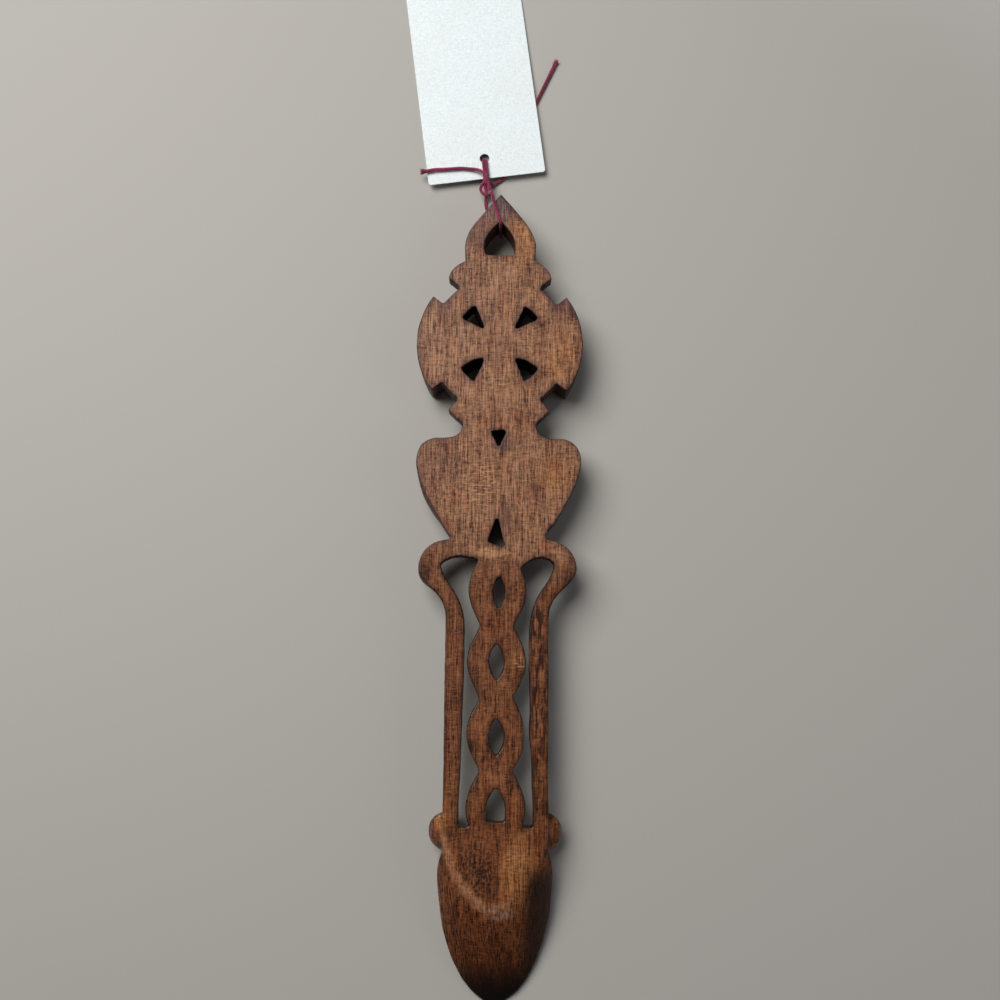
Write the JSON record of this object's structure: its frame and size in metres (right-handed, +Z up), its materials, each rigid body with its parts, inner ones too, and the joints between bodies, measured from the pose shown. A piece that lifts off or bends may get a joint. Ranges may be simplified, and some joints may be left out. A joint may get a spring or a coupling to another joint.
{
  "type": "carved wooden love spoon",
  "caption": "Carved wooden love spoon lying face down: pointed bowl, interlaced open panel, paired hearts, ring cross and pierced finial, with a yarn through the hole holding a card tag.",
  "frame": {"origin": "middle of the wooden spoon's box, on the surface it lies on, face down", "axes": "+Y from the bowl to the hanging hole, +Z up out of the flat back, +X to the right when the back is seen with the hole at the top"},
  "size_m": [0.0837, 0.4719, 0.0195],
  "materials": {
    "stained_wood": "stained hardwood under a thin satin varnish",
    "yarn": "twisted crimson yarn, slightly fuzzy",
    "card": "white card with a fine linen emboss"
  },
  "bodies": {
    "spoon": {"spoon": "stained_wood"},
    "string": {"string_neck_loop": "yarn", "string_knot": "yarn", "string_tail_right": "yarn"},
    "tag_loop": {"string_tag_loop": "yarn", "string_tail_left": "yarn"},
    "tag": {"tag": "card"}
  },
  "joints": [
    {"name": "string_swing", "type": "hinge", "parent": "spoon", "child": "string", "pos_m": [0, 0.1582, 0.01075], "axis": [0, 0, 1], "range_deg": [-60, 60]},
    {"name": "tag_lift", "type": "hinge", "parent": "string", "child": "tag_loop", "pos_m": [-0.0063, 0.1822, 0.0034], "axis": [0.9912, 0.1323, 0], "range_deg": [0, 80]},
    {"name": "tag_swivel", "type": "hinge", "parent": "tag_loop", "child": "tag", "pos_m": [-0.00776, 0.19657, 0.00283], "axis": [-0.0033, 0.0247, 0.9997], "range_deg": [-10, 15]}
  ]
}
